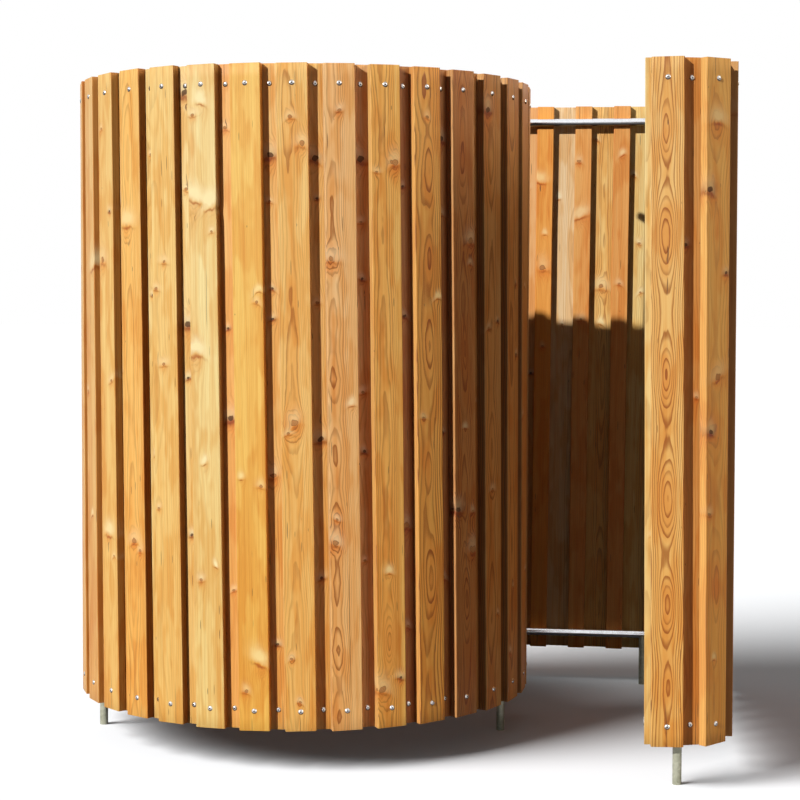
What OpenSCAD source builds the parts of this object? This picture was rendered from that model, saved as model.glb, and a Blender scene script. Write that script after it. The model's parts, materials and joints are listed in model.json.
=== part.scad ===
// Outdoor changing cubicle: a round room of upright boards whose wall runs on, in one unbroken
// spiral, along the rear, round a tight bend, down the side and round a second bend into a short
// screen beside the entrance. Two rings of bent galvanised tube carry two layers of boards on
// their outside, and five tube legs under the lower ring stand on the ground. It has no roof,
// door or floor. The boards of the outer layer cover the gaps between those of the inner one.

/* [Plan, on the centreline of the tube rings] */
// Radius of the round room
drum_radius = 680; // [560:5:1000]
// How far the round room turns, from where the rear wall leaves it to its free end, in degrees
drum_sweep = 279.4; // [230:0.2:290]
// Straight run of the rear wall
rear_run = 1216; // [900:1:1800]
// Straight run of the side wall
side_run = 1158; // [700:1:1600]
// Radius of the two bends beside the corridor
bend_radius = 115; // [90:5:220]
// Straight tube beyond the front bend, which carries the end of the screen
return_run = 77; // [60:1:400]

/* [Boards] */
// Length of every board
board_length = 2000; // [1400:10:2600]
// Thickness of every board
board_thickness = 27; // [18:1:40]
// Width of an outer board
outer_width = 95; // [70:1:140]
// Width of an inner board
inner_width = 61; // [45:1:110]
// Usual lap of an outer board over each inner one, which gives a little so that the boards come
// out evenly between those that are set out first
usual_lap = 8; // [6:0.5:14]
// Least overlap along the wall: a stretch whose boards would lap by less gets one more of each
least_lap = 4; // [2:0.5:6]
// Reach of the end inner boards beyond the edge of the outer board that they support
end_reveal = 18.5; // [5:0.5:25]
// Easing of the long edges
edge_ease = 2; // [0.5:0.5:4]
// Lean of the round room's boards in their own planes, their feet towards its free end, in degrees
room_lean = 0.84; // [0:0.01:1.2]
// Lean of the other boards, the same way, in degrees
wall_lean = 0.45; // [0:0.01:1]

/* [Setting out] */
// Outer board set on the round room's left, in degrees from where the rear wall leaves it
drum_mark = 123; // [90:0.1:160]
// Outer board set on the rear wall, back from the start of its bend
rear_mark = 107; // [40:1:160]
// Outer board set on the side wall, back from the start of its bend
side_mark = 17; // [5:1:80]

/* [Tubes and legs] */
// Outer diameter of the rings and legs
tube_diameter = 26.9; // [20:0.1:42]
// Wall of the rings and legs
tube_wall = 2.6; // [1.6:0.1:4]
// Centreline of each ring, in from the ends of the boards
ring_inset = 60; // [30:1:200]
// Room between the ground and the lower ends of the boards
ground_gap = 125; // [60:1:300]
// Tube left short of the end inner board's edge
tube_set_back = 6; // [0:1:20]
// Clearance of each piece from its seat
seat = 0.3; // [0.1:0.05:0.6]
// Leg by the free end of the round room, in degrees from where the rear wall leaves it
leg_entrance = 261; // [230:1:270]
// Leg on the left of the round room, in degrees from where the rear wall leaves it
leg_left = 108; // [80:1:140]
// Leg at the rear of the round room, in degrees from where the rear wall leaves it
leg_rear = 8; // [2:1:40]
// Leg on the rear wall, back from the start of its bend
leg_corner = 79; // [20:1:400]
// Leg in the front bend, in degrees from its end
leg_front = 11; // [2:1:60]

/* [Hidden] */
tube_radius = tube_diameter / 2;
tube_bore = tube_radius - tube_wall;
lower_ring = ground_gap + ring_inset;
upper_ring = ground_gap + board_length - ring_inset;
board_middle = ground_gap + board_length / 2;

// Distances out from the tube centreline: the inner boards' two faces. The outer boards lie on
// the second of them, which is also the line along which the boards are set out.
inner_face = tube_radius + seat;
lap_face = inner_face + board_thickness;

// Centres of the round room and of the two bends
drum_centre = [0, 0];
rear_centre = [rear_run, drum_radius - bend_radius];
front_centre = rear_centre - [0, side_run];

// Places along the wall are measured between the two layers, from where the rear wall leaves the
// round room: below zero on the round room, above zero along the rear and the side.
function arc_length(radius, degrees) = (radius + lap_face) * degrees * PI / 180;
function arc_degrees(radius, length) = length * 180 / PI / (radius + lap_face);
bend_length = arc_length(bend_radius, 90);
wall_start = -arc_length(drum_radius, drum_sweep);
rear_bend = rear_run;
side_wall = rear_bend + bend_length;
front_bend = side_wall + side_run;
return_wall = front_bend + bend_length;
wall_end = return_wall + return_run;

// A spot on the tube centreline, as [x, y, direction that the wall faces there]
function on_arc(centre, radius, facing) =
    [centre.x + radius * cos(facing), centre.y + radius * sin(facing), facing];
function spot(place) =
    place < 0 ? on_arc(drum_centre, drum_radius, 90 - arc_degrees(drum_radius, place)) :
    place < rear_bend ? [place, drum_radius, 90] :
    place < side_wall ? on_arc(rear_centre, bend_radius, 90 - arc_degrees(bend_radius, place - rear_bend)) :
    place < front_bend ? [rear_centre.x + bend_radius, rear_centre.y - (place - side_wall), 0] :
    place < return_wall ? on_arc(front_centre, bend_radius, -arc_degrees(bend_radius, place - front_bend)) :
    [front_centre.x - (place - return_wall), front_centre.y - bend_radius, -90];
function outward(spot) = [cos(spot[2]), sin(spot[2])];
function sideways(spot) = [-sin(spot[2]), cos(spot[2])];
function on_plan(spot) = [spot.x, spot.y];

// Outer boards stand evenly between five set ones, as near to the usual pitch as comes out even
end_lap = outer_width / 2 + end_reveal;
first_board = wall_start - tube_set_back + end_lap;
last_board = wall_end + tube_set_back - end_lap;
usual_pitch = outer_width + inner_width - 2 * usual_lap;
widest_pitch = outer_width + inner_width - 2 * least_lap;
function spread(from, to) =
    let (bays = max(round((to - from) / usual_pitch), ceil((to - from) / widest_pitch)))
    [for (bay = [0 : bays - 1]) from + (to - from) * bay / bays];
drum_mark_place = -arc_length(drum_radius, drum_mark);
rear_mark_place = rear_bend - rear_mark;
side_mark_place = front_bend - side_mark;
outer_places = concat(spread(first_board, drum_mark_place), spread(drum_mark_place, rear_mark_place),
                      spread(rear_mark_place, side_mark_place), spread(side_mark_place, last_board),
                      [last_board]);
// Inner boards stand midway between the outer ones, and one more is tucked in at each end
end_tuck = end_lap - inner_width / 2;
inner_places = concat([first_board - end_tuck],
                      [for (i = [1 : len(outer_places) - 1]) (outer_places[i - 1] + outer_places[i]) / 2],
                      [last_board + end_tuck]);

// Distance from the tube centreline at which outer board i clears the corners of both inner
// boards under it, at the ends where the lean brings them nearest
function lean(place) = place < 0 ? room_lean : wall_lean;
function lean_slide(place) = board_length / 2 * sin(lean(place));
function corner_reach(under_place, place) =
    let (under = spot(under_place), board = spot(place),
         corner = inner_width / 2 - edge_ease + lean_slide(under_place))
    max([for (side = [-1, 1])
        (on_plan(under) + lap_face * outward(under) + side * corner * sideways(under) - on_plan(board))
        * outward(board)]);
function outer_seat(i) =
    seat + max(corner_reach(inner_places[i], outer_places[i]),
               corner_reach(inner_places[i + 1], outer_places[i]));

// Outermost corners of the outer boards, which centre the cubicle on the origin
outer_corners = [
    for (i = [0 : len(outer_places) - 1], side = [-1, 1], height = [-1, 1], ease = [0, edge_ease])
        let (board = spot(outer_places[i]), half = outer_width / 2 - ease,
             face = outer_seat(i) + board_thickness - edge_ease + ease)
        on_plan(board) + face * outward(board)
        + (side * half + height * lean_slide(outer_places[i])) * sideways(board)];
function middle(values) = (min(values) + max(values)) / 2;
plan_middle = [middle([for (corner = outer_corners) corner.x]),
               middle([for (corner = outer_corners) corner.y]), 0];

// Stretches of wall that are handled and named as one: name, start, end
drum_names = ["drum_entrance", "drum_front_right", "drum_front_left",
              "drum_left", "drum_rear_left", "drum_rear"];
function drum_part(i) = wall_start * (1 - i / len(drum_names));
PANELS = concat(
    [for (i = [0 : len(drum_names) - 1])
        [drum_names[i], i == 0 ? 2 * wall_start : drum_part(i), drum_part(i + 1)]],
    [["rear_wall_left", 0, rear_run / 2], ["rear_wall_right", rear_run / 2, rear_bend],
     ["rear_corner", rear_bend, side_wall],
     ["side_wall_rear", side_wall, side_wall + side_run / 2],
     ["side_wall_front", side_wall + side_run / 2, front_bend],
     ["entrance_screen", front_bend, 2 * wall_end]]);
RINGS = [["lower_ring", lower_ring], ["upper_ring", upper_ring]];
RING_TUBES = ["drum", "rear_run", "rear_bend", "side_run", "front_bend"];
LEGS = [["entrance_leg", -arc_length(drum_radius, leg_entrance)],
        ["left_leg", -arc_length(drum_radius, leg_left)],
        ["rear_leg", -arc_length(drum_radius, leg_rear)],
        ["corner_leg", rear_bend - leg_corner],
        ["screen_leg", return_wall - arc_length(bend_radius, leg_front)]];
$fn = 96;

// Everything below is drawn about the centre of the round room, and moved once to the origin
module centred() {
    translate(-plan_middle)
        children();
}

// Cross-section of a board: its inner face on X = 0, its long edges eased
module board_section(width) {
    half = width / 2;
    eased = half - edge_ease;
    near = edge_ease;
    far = board_thickness - edge_ease;
    polygon([[0, -eased], [near, -half], [far, -half], [board_thickness, -eased],
             [board_thickness, eased], [far, half], [near, half], [0, eased]]);
}

// One board at a place, its inner face at a distance out from the tube centreline
module board(place, distance, width) {
    stand = spot(place);
    translate([stand.x, stand.y, board_middle])
        rotate([0, 0, stand[2]])
            translate([distance, 0, 0])
                rotate([lean(place), 0, 0])
                    linear_extrude(board_length, center = true)
                        board_section(width);
}

function within(place, panel) = place >= panel[1] && place < panel[2];

module outer_boards(panel) {
    color("burlywood")
        centred()
            for (i = [0 : len(outer_places) - 1])
                if (within(outer_places[i], panel))
                    board(outer_places[i], outer_seat(i), outer_width);
}

module inner_boards(panel) {
    color("peru")
        centred()
            for (place = inner_places)
                if (within(place, panel))
                    board(place, inner_face, inner_width);
}

// Round bar or tube bent round a centre, from one direction through an angle
module bent(centre, radius, from, degrees, outer, bore) {
    translate([centre.x, centre.y, 0])
        rotate([0, 0, from])
            rotate_extrude(angle = degrees, $fn = 180)
                translate([radius, 0])
                    ring_section(outer, bore);
}

// Straight round bar or tube that leaves a spot towards a direction
module straight(from, direction, length, outer, bore) {
    translate([from.x, from.y, 0])
        rotate([0, 0, direction])
            rotate([0, 90, 0])
                linear_extrude(length)
                    ring_section(outer, bore);
}

// Cross-section of a tube, or of a bar where the bore is nothing
module ring_section(outer, bore) {
    difference() {
        circle(outer, $fn = 32);
        if (bore > 0)
            circle(bore, $fn = 32);
    }
}

// The five lengths of a ring, welded end to end, about their own height
module ring_length(part, outer, bore) {
    if (part == "drum")
        bent(drum_centre, drum_radius, 90, drum_sweep, outer, bore);
    if (part == "rear_run")
        straight(spot(0), 0, rear_run, outer, bore);
    if (part == "rear_bend")
        bent(rear_centre, bend_radius, 0, 90, outer, bore);
    if (part == "side_run")
        straight(spot(side_wall), -90, side_run, outer, bore);
    if (part == "front_bend") {
        bent(front_centre, bend_radius, -90, 90, outer, bore);
        straight(spot(return_wall), 180, return_run, outer, bore);
    }
}

module ring_tube(ring, part) {
    color("silver")
        centred()
            translate([0, 0, ring[1]])
                ring_length(part, tube_radius, tube_bore);
}

// Leg under the lower ring, its top coped to the tube that it is welded to
module leg(place) {
    foot = spot(place);
    cope_top = lower_ring - tube_radius / 2;
    color("silver")
        centred()
            difference() {
                translate([foot.x, foot.y, 0])
                    linear_extrude(cope_top)
                        ring_section(tube_radius, tube_bore);
                translate([0, 0, lower_ring])
                    for (part = RING_TUBES)
                        ring_length(part, tube_radius + seat, 0);
            }
}

for (panel = PANELS) {
    outer_boards(panel);
    inner_boards(panel);
}
for (ring = RINGS, part = RING_TUBES) {
    ring_tube(ring, part);
}
for (item = LEGS) {
    leg(item[1]);
}
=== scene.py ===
# %% [markdown]
# # An outdoor changing cubicle
# A round room of upright softwood boards. Its wall runs on in one spiral: along the rear, round
# a tight corner, down the side and into a short screen beside the entrance. Two rings of bent,
# galvanised tube carry an inner and an outer layer of boards, and five tube legs carry the rings.
#
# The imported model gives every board, tube and leg its place and size. This lesson keeps those,
# and makes what a maker would still see: grain, knots, drying cracks, screws, welds and zinc.

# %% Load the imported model
import json
import math
import random

import bmesh
import bpy
import numpy as np
from mathutils import Matrix, Vector

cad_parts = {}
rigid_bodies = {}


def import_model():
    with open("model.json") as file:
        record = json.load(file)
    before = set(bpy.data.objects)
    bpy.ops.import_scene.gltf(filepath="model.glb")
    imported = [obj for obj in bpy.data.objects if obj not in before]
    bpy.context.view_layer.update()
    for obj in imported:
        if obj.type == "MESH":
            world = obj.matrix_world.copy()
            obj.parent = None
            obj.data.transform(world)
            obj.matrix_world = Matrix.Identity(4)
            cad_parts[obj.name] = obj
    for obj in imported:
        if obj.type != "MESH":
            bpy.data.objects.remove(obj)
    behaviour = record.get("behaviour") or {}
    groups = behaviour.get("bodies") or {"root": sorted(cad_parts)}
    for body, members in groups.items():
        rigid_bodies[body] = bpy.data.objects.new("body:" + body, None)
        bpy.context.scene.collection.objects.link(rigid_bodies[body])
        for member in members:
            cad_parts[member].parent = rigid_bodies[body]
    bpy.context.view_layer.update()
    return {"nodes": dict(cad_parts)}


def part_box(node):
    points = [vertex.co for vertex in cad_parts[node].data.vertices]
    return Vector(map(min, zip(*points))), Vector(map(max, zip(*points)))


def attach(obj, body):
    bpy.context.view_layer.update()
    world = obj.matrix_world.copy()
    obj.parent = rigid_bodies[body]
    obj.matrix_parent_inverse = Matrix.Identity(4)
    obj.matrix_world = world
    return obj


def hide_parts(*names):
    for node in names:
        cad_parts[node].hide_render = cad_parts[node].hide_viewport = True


for stray in list(bpy.data.objects):
    bpy.data.objects.remove(stray)
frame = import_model()

# %% [markdown]
# ## The camera
# We stand about six metres in front of the entrance, at eye height, with a long lens, so that
# uprights stay nearly parallel. The heading turns the camera a little to the left, towards the
# round room. A small downward shift frames the feet without tipping the uprights.

# %% Camera
EYE = Vector((0.7926, -6.1768, 1.4627))
HEADING = math.radians(7.36)
LOOKING_DOWN = math.radians(2.76)
ROLL = math.radians(0.18)
LENS_MM = 83.7
FRAME_SHIFT = -0.0296


def placed(name, data):
    """A new object in the scene."""
    made = bpy.data.objects.new(name, data)
    bpy.context.scene.collection.objects.link(made)
    return made


camera = placed("camera", bpy.data.cameras.new("camera"))
camera.data.lens = LENS_MM
camera.data.shift_y = FRAME_SHIFT
camera.matrix_world = (Matrix.Translation(EYE)
                       @ Matrix.Rotation(HEADING, 4, "Z")
                       @ Matrix.Rotation(math.pi / 2 - LOOKING_DOWN, 4, "X")
                       @ Matrix.Rotation(ROLL, 4, "Z"))
bpy.context.scene.camera = camera
print("camera", EYE.length, "m from the origin")

# %% [markdown]
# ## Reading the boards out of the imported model
# Each node of the wall holds several boards, and each board is a closed prism with eased edges.
# To lay grain along a board we need its own directions: across it, out of the wall, and along
# it. The spread of its corners gives those. The outward direction is the one that points away
# from the tubes.

# %% Panels along the wall, from the round room's free end to the screen
PANELS = ["drum_entrance", "drum_front_right", "drum_front_left", "drum_left",
          "drum_rear_left", "drum_rear", "rear_wall_left", "rear_wall_right",
          "rear_corner", "side_wall_rear", "side_wall_front", "entrance_screen"]
TUBES = ["drum", "rear_run", "rear_bend", "side_run", "front_bend"]
RINGS = ["lower_ring", "upper_ring"]


def node_points(name):
    """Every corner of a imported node, as rows of x, y and z."""
    mesh = frame["nodes"][name].data
    points = np.zeros(len(mesh.vertices) * 3)
    mesh.vertices.foreach_get("co", points)
    return points.reshape(-1, 3)


ring_points = np.vstack([node_points(f"upper_ring_{tube}") for tube in TUBES])
RING_HEIGHTS = [(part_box(f"{ring}_side_run")[0].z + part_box(f"{ring}_side_run")[1].z) / 2
                for ring in RINGS]
print("ring heights", RING_HEIGHTS)


# %% One board as a maker measures it
class Board:
    """A board's middle, its three directions and its three sizes."""

    def __init__(self, corners):
        order = corners[corners[:, 2].argsort()]
        half = len(order) // 2
        low, high = order[:half].mean(0), order[half:].mean(0)
        self.middle = (low + high) / 2
        self.length = float(np.linalg.norm(high - low))
        self.along = (high - low) / self.length
        spread = corners - self.middle
        spread = spread - np.outer(spread @ self.along, self.along)
        across = np.linalg.eigh(spread.T @ spread)[1][:, 2]
        out = np.cross(across, self.along)
        gaps = ((ring_points[:, :2] - self.middle[:2]) ** 2).sum(1)
        nearest = ring_points[gaps.argmin()]
        if (self.middle[:2] - nearest[:2]) @ out[:2] < 0:
            out = -out
        self.out = out
        self.across = np.cross(out, self.along)
        self.width = float(np.ptp(spread @ self.across))
        self.thickness = float(np.ptp(spread @ self.out))
        self.turn = self.shift = (0.0, 0.0)

    def axes(self):
        return np.array([self.across, self.out, self.along])

    def world(self, place):
        """Turns places on the board into places in the model, with the board's slight twist."""
        up = place[:, 2] / (self.length / 2)
        turn = self.turn[0] + self.turn[1] * up
        shift = self.shift[0] + self.shift[1] * up
        across = place[:, 0] * np.cos(turn) - place[:, 1] * np.sin(turn)
        out = place[:, 0] * np.sin(turn) + place[:, 1] * np.cos(turn) + shift
        return self.middle + np.column_stack([across, out, place[:, 2]]) @ self.axes()


def boards_of(name):
    """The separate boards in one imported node."""
    work = bmesh.new()
    work.from_mesh(frame["nodes"][name].data)
    bmesh.ops.remove_doubles(work, verts=work.verts, dist=1e-5)
    seen = set()
    found = []
    for start in work.verts:
        if start in seen:
            continue
        island, waiting = [], [start]
        seen.add(start)
        while waiting:
            corner = waiting.pop()
            island.append(corner.co[:])
            for edge in corner.link_edges:
                other = edge.other_vert(corner)
                if other not in seen:
                    seen.add(other)
                    waiting.append(other)
        found.append(Board(np.array(island)))
    work.free()
    return found


def in_wall_order(layer):
    """All boards of one layer as they stand along the wall, each with its panel's name."""
    boards = {panel: boards_of(f"{panel}_{layer}_boards") for panel in PANELS}
    beyond = np.mean([board.middle for board in boards[PANELS[1]]], axis=0)
    start = max(boards[PANELS[0]], key=lambda board: np.linalg.norm(board.middle - beyond))
    chain, last = [], start.middle
    for panel in PANELS:
        left = list(boards[panel])
        while left:
            board = min(left, key=lambda item: np.linalg.norm(item.middle - last))
            left.remove(board)
            board.panel, board.number = panel, len(chain)
            chain.append(board)
            last = board.middle
    return chain


layers = {layer: in_wall_order(layer) for layer in ("outer", "inner")}
for layer, boards in layers.items():
    print(layer, len(boards), "boards,", round(boards[0].width * 1000), "x",
          round(boards[0].thickness * 1000), "x", round(boards[0].length * 1000), "mm")

# %% [markdown]
# ## Boards that bear on each other
# The boards lean a little, all the same way round. On a straight wall that changes nothing, but
# on a curve two inner boards lean apart, and a flat outer board would touch one at its top and
# the other at its foot. In fact its screws pull it down on both, into a slight twist. We find
# the corner that each inner board holds up to it, at the top and at the foot, and lay the outer
# board's inner face on the two.

# %% Twist of the outer boards
SEAT = 0.0003            # gap left between a board and the one that it lies on
CORNER_EASE = 0.002      # how far in from a board's edge its face is flat
LEVEL = 1e-5             # two corners this level touch a board alike


def contact(board, under, end):
    """Where the board under it comes nearest to a board's inner face, at its top or its foot."""
    corners = np.array([[side * (under.width / 2 - CORNER_EASE), under.thickness / 2,
                         end * under.length / 2] for side in (-1, 1)])
    seen = (under.world(corners) - board.middle) @ board.axes().T
    seen = seen[seen[:, 0].argsort()]
    reach = board.width / 2 - CORNER_EASE
    spots = np.clip(seen[:, 0], -reach, reach)
    heights = np.interp(spots, seen[:, 0], seen[:, 1])
    best = heights.argmax() if np.ptp(heights) > LEVEL else abs(seen[:, 0]).argmin()
    return spots[best], heights[best]


for number, board in enumerate(layers["outer"]):
    tilts, shifts = [], []
    for end in (-1, 1):
        first, second = [contact(board, under, end) for under in layers["inner"][number:number + 2]]
        slope = (second[1] - first[1]) / (second[0] - first[0])
        tilts.append(math.atan(slope))
        shifts.append(first[1] - slope * first[0] + board.thickness / 2 + SEAT)
    board.turn = (sum(tilts) / 2, (tilts[1] - tilts[0]) / 2)
    board.shift = (sum(shifts) / 2, (shifts[1] - shifts[0]) / 2)
print("largest twist", round(math.degrees(max(abs(b.turn[1]) for b in layers["outer"])), 2), "degrees",
      "largest shift", round(1000 * max(abs(b.shift[0]) for b in layers["outer"]), 2), "mm")

# %% [markdown]
# ## Choosing the wood
# The boards are larch and pine from mixed logs, so no two match. A maker notes each board's tone,
# its figure (how the saw cut the growth rings) and its knots. The notes below do the same for the
# boards that people see first. The rest are dealt at random with a fixed seed, so that every run
# gives the same wall.

# %% Tones, as red, green and blue shades
TONES = {
    "cream": (245, 211, 140), "ash": (246, 208, 158), "straw": (233, 185, 109),
    "butter": (237, 200, 129), "wheat": (252, 198, 118), "sand": (228, 174, 102),
    "gold": (240, 183, 88), "honey": (244, 184, 104), "amber": (254, 176, 82),
    "apricot": (255, 189, 99), "tan": (238, 176, 112), "copper": (240, 176, 92),
    "rust": (230, 162, 87), "brown": (207, 143, 78), "umber": (191, 124, 65),
}

# %% Figures: ring contrast, pith off centre, pith depth, its sway, length of a sway, ring width
FIGURES = {
    "quiet": (0.22, 0.60, 0.070, 0.002, 1.3, 0.0040),
    "plain": (0.42, 0.45, 0.060, 0.003, 1.1, 0.0042),
    "flame": (0.95, 0.10, 0.042, 0.007, 0.9, 0.0062),
    "fine": (0.75, 0.12, 0.040, 0.006, 1.5, 0.0038),
    "bold": (1.45, 0.16, 0.038, 0.006, 0.60, 0.0054),
    "eyes": (1.20, 0.03, 0.029, 0.004, 0.70, 0.0044),
    "split": (1.15, 0.28, 0.024, 0.004, 0.45, 0.0038),
}

# %% Notes on the boards that show, counted from the free end
# Tone, figure, then knots by side (left, centre, right, capitals for large ones) and height above
# the foot in decimetres. A dead knot ends in x, a scar with no core, marked by painted highlight
# and shade, in ~, a knot that lies under the face and only bends the rings in o, and a drying crack in |.
NOTES = {
    "outer": {
        0: "brown plain", 1: "brown plain c13.4 l9.2 r4.0",
        2: "brown flame r13.5 r11.2x c3.7 l1.6", 3: "brown flame L18.9x r12.3x l12.1 c7.0 r3.0",
        4: "umber eyes C17.4o R14.8 r14.1 c11.5o L6.5x r6.4 R5.2 c9.0~ C3.6o C5.0|",
        5: "amber bold c18.5 C17.1o c14.3o C11.4o l9.4 r13.0~ c7.8o C4.3o",
        6: "apricot fine R17.1 l16.8 L1.2 r1.5x c4.7~ c2.6o",
        7: "tan split L14.2 l6.4 L5.7 c18.6 r9.8~ C3.0|",
        8: "honey fine R17.6 c18.4 C9.3 l9.0 l2.2 c0.9",
        9: "gold quiet r13.2~ r12.9 l7.6~ r7.4 R2.0~ l1.2",
        10: "butter quiet C18.8~ l18.5 L15.9~ R15.7~ L11.3~ r15.0 c8.0~ r4.9~ l4.5 c13.0|",
        11: "straw plain c11.0 l13.3 l6.6 c14.1", 12: "copper fine L15.2~ C5.5 r5.2",
        13: "straw quiet l18.3 r15.7x L14.2 r10.4 C5.5~ r4.9", 14: "sand quiet R13.9~ l10.0 c6.0~",
        15: "sand quiet l14.0 c8.0", 16: "honey plain l15.5 c7.2",
        30: "tan quiet c14.0x l10.2x c17.0", 31: "ash plain r16.6~ c12.0",
        32: "wheat fine r18.8 C13.4 c12.0~", 33: "cream plain r17.5 c15.0 c13.2", 44: "brown plain",
        45: "amber flame C18.1~ L16.2x c15.2o r13.8x C10.8 L9.2x l6.8 C4.6o c2.5~",
        46: "sand eyes c17.8o C14.9o c10.8o C7.2o c4.2o c1.8o",
    },
    "inner": {
        4: "brown plain c15.2x c9.8x", 5: "umber plain C17.9x c15.6 c8.9x c4.4",
        6: "umber plain c16.4x c12.5x C6.1 c3.0", 7: "tan plain C17.2x c15.3 c13.6x c10.2 c8.4x c5.1",
        8: "wheat plain C17.2x c16.0x c12.9 C8.8x c4.6x",
        9: "wheat plain C17.3x c15.9 c13.3x c12.4x C7.7 c2.6x",
        10: "honey quiet c18.1 c12.1x C9.4x c4.2", 11: "cream quiet C19.2x c16.3 C12.2x c10.6x c5.8x",
        12: "cream plain c17.4 c13.1x c8.2", 13: "wheat quiet C16.0x c10.7x c6.6",
        14: "straw plain c14.1x c9.0", 15: "honey plain c15.2", 31: "amber quiet R17.2~ C14.1 c15.3~ c11.2",
        32: "rust quiet C15.9~ r18.0 c12.2", 33: "rust quiet c18.2~ c13.5",
        46: "rust plain l14.6x r10.2", 47: "cream plain r11.0 c6.2",
    },
}
for layer, boards in layers.items():
    print(layer, "boards noted", len(NOTES[layer]), "of", len(boards))


# %% Reading a note
KNOT_SIDES = {"l": 0.30, "c": 0.02, "r": -0.30}       # share of the width, seen from outside
LIVE, DEAD, SCAR, UNDER = 0, 1, 2, 3
KINDS = {"x": DEAD, "~": SCAR, "o": UNDER}
LARGE, SMALL = (0.009, 0.012), (0.0040, 0.0062)       # radius of a knot, from and to
UNDER_GROWTH = 0.007     # how much wider the rings bend over a knot that lies under the face
SHORT_CRACK, LONG_CRACK = 0.11, 0.22                  # half its length


def noted_knots(board, words, deck):
    """Knots of a note, as rows of across, along, size and kind."""
    rows = []
    for word in words:
        if word.endswith("|"):
            height = float(word[1:-1]) / 10 - board.length / 2
            reach = LONG_CRACK if word[0].isupper() else SHORT_CRACK
            board.crack = (-0.07 * board.width, height, reach)
            continue
        kind = KINDS.get(word[-1], LIVE)
        size = deck.uniform(*(LARGE if word[0].isupper() else SMALL))
        size = UNDER_GROWTH + size if kind == UNDER else size
        across = (KNOT_SIDES[word[0].lower()] + deck.uniform(-0.06, 0.06)) * board.width
        height = float(word[1:].rstrip("x~o")) / 10
        rows.append((across, height - board.length / 2, size, kind))
    return rows


PIN_KNOT = 0.0022
TOP_GAP = 0.06           # no whorl so close to the top


def dealt_knots(board, deck):
    """Knots for a board with none noted: whorls of one or two, and pin knots between them."""
    rows = []
    height = deck.uniform(0.1, 0.5) - board.length / 2
    while height < board.length / 2 - TOP_GAP:
        for _ in range(deck.choice([1, 1, 2])):
            across = deck.uniform(-0.46, 0.46) * board.width
            kind = deck.choice([LIVE, LIVE, LIVE, DEAD, SCAR])
            rows.append((across, height + deck.uniform(-0.01, 0.01), deck.uniform(0.004, 0.011), kind))
        if deck.random() < 0.6:
            pin = height + deck.uniform(0.1, 0.2)
            rows.append((deck.uniform(-0.4, 0.4) * board.width, pin, PIN_KNOT, DEAD))
        height += deck.uniform(0.32, 0.6)
    return rows


# %% Every board gets its tone, figure and knots
def linear(shade):
    """A shade of 0 to 255 as the linear light that Blender works in."""
    share = shade / 255
    return share / 12.92 if share <= 0.04045 else ((share + 0.055) / 1.055) ** 2.4


PLAIN_KEPT = (0.93, 0.79, 0.65)          # what streaks and knots leave of each colour
GRAIN_LOSS = (0.13, 0.20, 0.25)          # what the growth rings take, at full contrast
WHITEST = 0.97                           # no tint is lighter than this
SPLIT_SAPWOOD = 0.040                    # the wood of a split figure turns pale this far from its pith


def deal_board(board, note, deck):
    """Sets a board's tint, its cut from the log and its knots."""
    tone = deck.choice(["straw", "gold", "honey", "honey", "amber", "tan", "rust"])
    figure = deck.choice(["quiet", "plain", "plain", "flame", "bold", "split"])
    words = note.split()
    if words:
        tone, figure = words[:2]
    strength = deck.uniform(0.96, 1.04)
    contrast, off_centre, depth, sway, reach, ring = FIGURES[figure]
    kept = [plain * (1 - contrast * grain) for plain, grain in zip(PLAIN_KEPT, GRAIN_LOSS)]
    wanted = [linear(shade) * strength / share for shade, share in zip(TONES[tone], kept)]
    board.tint = [part * min(1, WHITEST / max(wanted)) for part in wanted]
    board.seed = deck.uniform(0, 40)
    near_side = -1 if words else deck.choice([-1, 1])
    board.contrast = contrast * deck.uniform(0.9, 1.05)
    board.pith = (off_centre * board.width * deck.uniform(0.85, 1.15), near_side * depth)
    board.sway, board.reach = sway, reach * deck.uniform(0.85, 1.2)
    board.ring = ring * deck.uniform(0.85, 1.15)
    board.sapwood = SPLIT_SAPWOOD if figure == "split" else depth + deck.uniform(0.0, 0.06)
    end = deck.choice([-1, 1])
    board.crack = (deck.uniform(-0.3, 0.3) * board.width, end * board.length / 2, deck.uniform(0, 0.16))
    board.knots = noted_knots(board, words[2:], deck) if words[2:] else dealt_knots(board, deck)


deck = random.Random(11)
for layer, boards in layers.items():
    for board in boards:
        deal_board(board, NOTES[layer].get(board.number, ""), deck)
print("knots in all", sum(len(board.knots) for boards in layers.values() for board in boards))

# %% [markdown]
# ## Boards as meshes
# A sawn and planed board isn't a perfect prism. Its edges are rounded by a sander that bites
# more in one place than in another, its wide faces hollow a little as it dries, and no two ends
# are cut quite alike. So each board is a tube of rings, one ring every few centimetres, where
# each ring is its section with a rounding of its own. Every change of the section goes inwards,
# so that no board grows. Knots on an edge have lost a chip, and get extra rings.
#
# Each point also remembers where on the board it lies, which the grain is drawn by.

# %% Section of a board
ROUND = 0.0026           # usual rounding of the long edges
ROUND_STEPS = 3          # faces round one edge
FACE_STEPS = 7           # strips on a wide face
SIDE_STEPS = 2           # strips on a narrow face
HOLD = 0.0012            # strip beside each rounding that keeps the flats flat


def strips(steps):
    """Places from 0 to 1 along a flat, with a narrow strip at both ends."""
    return [0.0, 0.0] + [step / steps for step in range(1, steps)] + [1.0, 1.0]


def section_plan():
    """What makes each point of a section: its side, its share along it and its hold."""
    plan = []
    for side, steps in enumerate([FACE_STEPS, SIDE_STEPS, FACE_STEPS, SIDE_STEPS]):
        shares = strips(steps)
        for step, share in enumerate(shares):
            hold = 1 if step == 1 else -1 if step == len(shares) - 2 else 0
            plan.append(("flat", side, share, hold))
        for step in range(1, ROUND_STEPS):
            plan.append(("round", side, step / ROUND_STEPS, 0))
    return plan


PLAN = section_plan()
CORNERS = [(1, -1), (1, 1), (-1, 1), (-1, -1)]      # the corner that ends each side


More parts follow.
